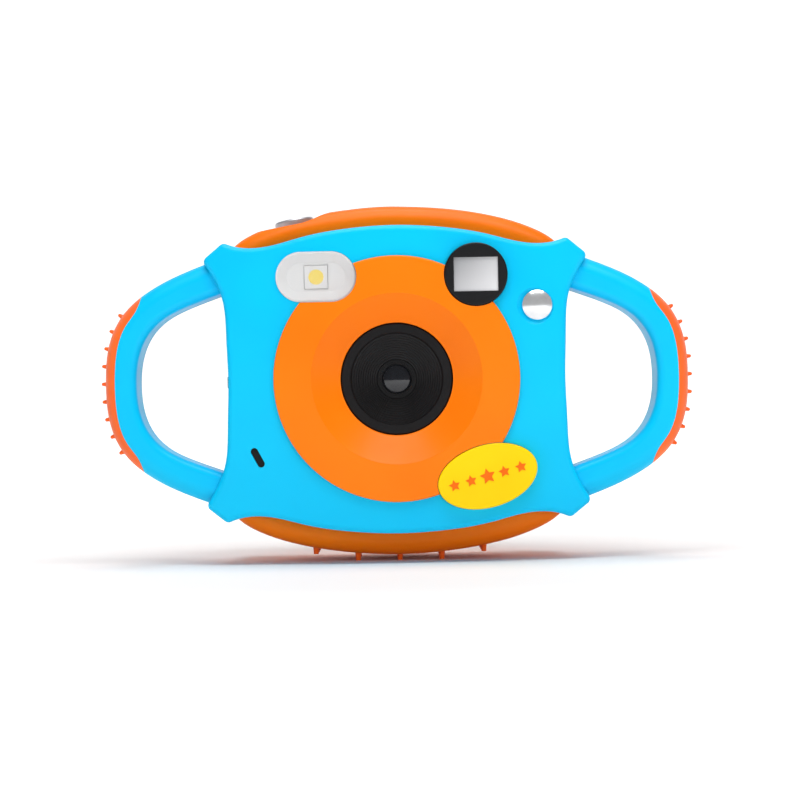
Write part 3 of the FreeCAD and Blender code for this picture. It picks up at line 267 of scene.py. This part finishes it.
def dress_frame():
    """Every CAD node gets the material of its slot."""
    for part in frame["record"]["subparts"]:
        node = NODES[part["node"]]
        node.data.materials.clear()
        node.data.materials.append(MATERIALS[part["material_slot"]])
    # The viewfinder window gets a painted reflection instead of its slot's material.
    window = NODES["viewfinder_front_window"]
    window.data.materials.clear()
    window.data.materials.append(viewfinder_painted_reflection())


dress_frame()


# ---------------------------------------------------------------- stage, light and camera

def backdrop():
    """Seamless white sweep: a floor that curves up behind the camera."""
    profile = [(SWEEP_FRONT_Y, 0.0), (SWEEP_BEND_Y, 0.0)]
    for step in range(1, SWEEP_STEPS + 1):
        angle = math.pi / 2 * step / SWEEP_STEPS
        along = SWEEP_BEND_Y + SWEEP_BEND_RADIUS * math.sin(angle)
        profile.append((along, SWEEP_BEND_RADIUS * (1 - math.cos(angle))))
    profile.append((SWEEP_BEND_Y + SWEEP_BEND_RADIUS, SWEEP_HEIGHT))
    mesh = bmesh.new()
    left = [mesh.verts.new((-SWEEP_HALF_WIDTH, y, z)) for y, z in profile]
    right = [mesh.verts.new((SWEEP_HALF_WIDTH, y, z)) for y, z in profile]
    for index in range(len(profile) - 1):
        mesh.faces.new((left[index], right[index], right[index + 1], left[index + 1]))
    data = bpy.data.meshes.new("backdrop")
    mesh.to_mesh(data)
    for face in data.polygons:
        face.use_smooth = True
    sweep = bpy.data.objects.new("backdrop", data)
    bpy.context.scene.collection.objects.link(sweep)
    material, tree, shader = new_material("backdrop_paper")
    where = object_coordinates(tree)
    pale = blend_colours(tree, noise(tree, where, 3.0), srgb(250, 250, 250), srgb(247, 247, 247))
    tree.links.new(pale, shader.inputs["Base Color"])
    shader.inputs["Roughness"].default_value = 0.7
    shader.inputs["Specular IOR Level"].default_value = 0.1
    tree.links.new(pale, shader.inputs["Emission Color"])
    away = tree.nodes.new("ShaderNodeVectorMath")
    away.operation = "LENGTH"
    tree.links.new(where, away.inputs[0])
    glow = span(tree, away.outputs["Value"], 0.0, GLOW_STRENGTH, *GLOW_REACH)
    tree.links.new(glow, shader.inputs["Emission Strength"])
    data.materials.append(material)


def area_light(name, place, target, size, power, in_mirrors=True):
    light = bpy.data.lights.new(name, "AREA")
    light.shape = "RECTANGLE"
    light.size, light.size_y = size
    light.energy = power
    lamp = bpy.data.objects.new(name, light)
    lamp.location = place
    lamp.visible_glossy = in_mirrors
    lamp.rotation_euler = (Vector(target) - Vector(place)).to_track_quat("-Z", "Y").to_euler()
    bpy.context.scene.collection.objects.link(lamp)


def light_and_camera():
    world = bpy.data.worlds.new("studio")
    world.use_nodes = True
    world.node_tree.nodes["Background"].inputs["Color"].default_value = (1.0, 1.0, 1.0, 1.0)
    world.node_tree.nodes["Background"].inputs["Strength"].default_value = WORLD_STRENGTH
    bpy.context.scene.world = world
    area_light("key", (-0.65, -0.8, 0.4), OBJECT_MIDDLE, (0.6, 0.5), 1.0, in_mirrors=False)
    area_light("low fill", (0.3, -0.8, 0.05), OBJECT_MIDDLE, (0.8, 0.1), 1.9, in_mirrors=False)
    area_light("high front", (0.05, -0.45, 0.95), OBJECT_MIDDLE, (0.8, 0.4), 6.6)
    area_light("top", (0.0, 0.1, 1.0), OBJECT_MIDDLE, (0.5, 0.35), 3.2)
    camera = bpy.data.objects.new("camera", bpy.data.cameras.new("camera"))
    camera.data.sensor_width = SENSOR_WIDTH
    camera.data.lens = SENSOR_WIDTH * CAMERA_DISTANCE / FRAME_WIDTH
    camera.data.clip_start = 0.01
    camera.location = (CAMERA_X, CAMERA_PLANE_Y - CAMERA_DISTANCE, CAMERA_HEIGHT)
    camera.rotation_euler = (math.radians(90.0), math.radians(CAMERA_ROLL), 0.0)
    bpy.context.scene.collection.objects.link(camera)
    bpy.context.scene.camera = camera
    bpy.context.scene.view_settings.view_transform = "Standard"


backdrop()
light_and_camera()
